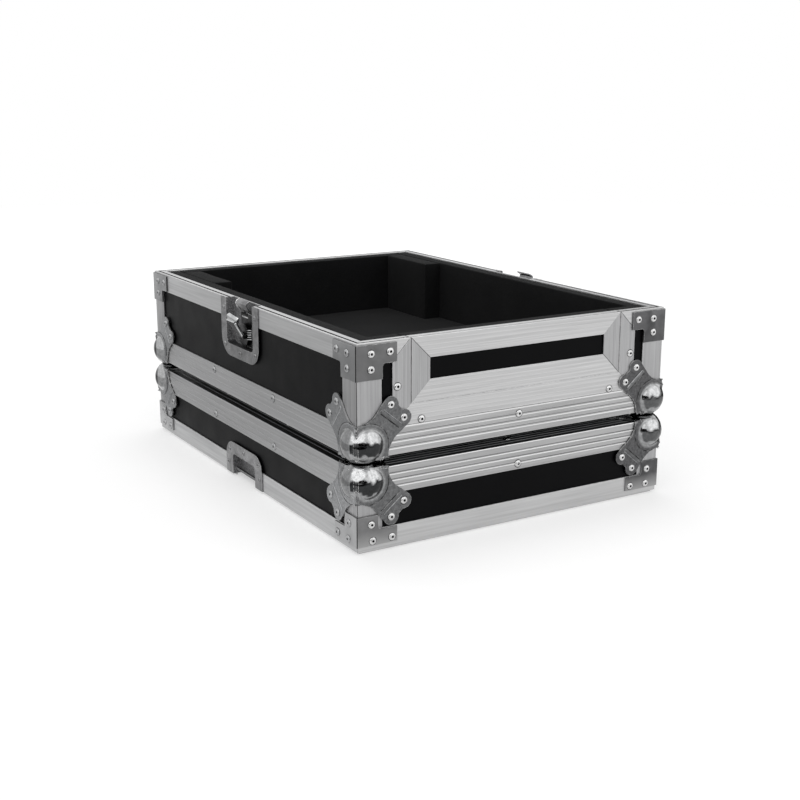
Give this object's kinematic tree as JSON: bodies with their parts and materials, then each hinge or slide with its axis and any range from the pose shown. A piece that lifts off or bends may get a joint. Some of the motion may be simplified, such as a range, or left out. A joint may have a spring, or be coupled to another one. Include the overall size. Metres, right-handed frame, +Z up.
{
  "type": "mixer flight case",
  "caption": "Open-topped flight case for a DJ mixer, with a foam-lined base, lift-out front door, recessed latches and ball corners, standing on its upturned lid.",
  "frame": {"origin": "bottom centre of the stacked case, on the surface that it stands on", "axes": "+X to the case's right, -Y out of the front door, +Z up"},
  "size_m": [0.433, 0.59, 0.2296],
  "materials": {
    "extrusion": "satin anodised",
    "laminate": "fine-grained black laminate on plywood",
    "bracket_plate": "zinc-plated pressed steel",
    "ball_chrome": "bright plated pressed steel",
    "latch_plate": "zinc-plated pressed steel",
    "latch_mechanism": "dark plated steel",
    "foam": "charcoal polyethylene foam"
  },
  "bodies": {
    "lid": {"lid_top_panel": "laminate", "lid_left_panel": "laminate", "lid_right_panel": "laminate", "lid_front_panel": "laminate", "lid_rear_panel": "laminate", "lid_edging": "extrusion", "lid_rim": "extrusion", "lid_angle_front_left": "extrusion", "lid_angle_front_right": "extrusion", "lid_angle_rear_left": "extrusion", "lid_angle_rear_right": "extrusion", "lid_ball_corner_front_left": "ball_chrome", "lid_ball_corner_front_right": "ball_chrome", "lid_ball_corner_rear_left": "ball_chrome", "lid_ball_corner_rear_right": "ball_chrome", "lid_bracket_front_left": "bracket_plate", "lid_bracket_front_right": "bracket_plate", "lid_bracket_rear_left": "bracket_plate", "lid_bracket_rear_right": "bracket_plate", "lid_keeper_left": "latch_plate", "lid_keeper_right": "latch_plate", "lid_foam": "foam"},
    "base": {"base_floor_panel": "laminate", "base_left_panel": "laminate", "base_right_panel": "laminate", "base_front_panel": "laminate", "base_rear_panel": "laminate", "base_edging": "extrusion", "base_rim": "extrusion", "base_angle_front_left": "extrusion", "base_angle_front_right": "extrusion", "base_angle_rear_left": "extrusion", "base_angle_rear_right": "extrusion", "base_ball_corner_front_left": "ball_chrome", "base_ball_corner_front_right": "ball_chrome", "base_ball_corner_rear_left": "ball_chrome", "base_ball_corner_rear_right": "ball_chrome", "base_bracket_front_left": "bracket_plate", "base_bracket_front_right": "bracket_plate", "base_bracket_rear_left": "bracket_plate", "base_bracket_rear_right": "bracket_plate", "door_surround": "extrusion", "foam_bed": "foam", "foam_left_lining": "foam", "foam_right_lining": "foam", "foam_rear_lining": "foam", "foam_rear_left_block": "foam", "foam_rear_right_block": "foam", "latch_dish_left": "latch_plate", "latch_dish_right": "latch_plate"},
    "door": {"door_frame": "extrusion", "door_panel": "laminate", "door_foam": "foam"},
    "hook_left": {"latch_hook_left": "latch_mechanism"},
    "rotor_left": {"latch_rotor_left": "latch_mechanism"},
    "wing_left": {"latch_wing_left": "latch_plate"},
    "hook_right": {"latch_hook_right": "latch_mechanism"},
    "rotor_right": {"latch_rotor_right": "latch_mechanism"},
    "wing_right": {"latch_wing_right": "latch_plate"}
  },
  "joints": [
    {"name": "base_lift", "type": "slide", "parent": "lid", "child": "base", "axis": [0, 0, 1], "range_m": [0, 0.2]},
    {"name": "door_slide", "type": "slide", "parent": "base", "child": "door", "axis": [0, 0, 1], "range_m": [0, 0.1]},
    {"name": "rotor_left_turn", "type": "hinge", "parent": "base", "child": "rotor_left", "pos_m": [-0.204, 0, 0.1845], "axis": [-1, 0, 0], "range_deg": [0, 180]},
    {"name": "wing_left_fold", "type": "hinge", "parent": "rotor_left", "child": "wing_left", "pos_m": [-0.2047, 0, 0.1845], "axis": [0, -1, 0], "range_deg": [-30, 60]},
    {"name": "hook_left_slide", "type": "slide", "parent": "base", "child": "hook_left", "axis": [0, 0, 1], "range_m": [0, 0.007]},
    {"name": "rotor_right_turn", "type": "hinge", "parent": "base", "child": "rotor_right", "pos_m": [0.204, 0, 0.1845], "axis": [1, 0, 0], "range_deg": [0, 180]},
    {"name": "wing_right_fold", "type": "hinge", "parent": "rotor_right", "child": "wing_right", "pos_m": [0.2047, 0, 0.1845], "axis": [0, 1, 0], "range_deg": [-30, 60]},
    {"name": "hook_right_slide", "type": "slide", "parent": "base", "child": "hook_right", "axis": [0, 0, 1], "range_m": [0, 0.007]}
  ],
  "couplings": [
    {"joint": "hook_left_slide", "follows": "rotor_left_turn", "m_per_rad": 0.002228},
    {"joint": "hook_right_slide", "follows": "rotor_right_turn", "m_per_rad": 0.002228}
  ]
}
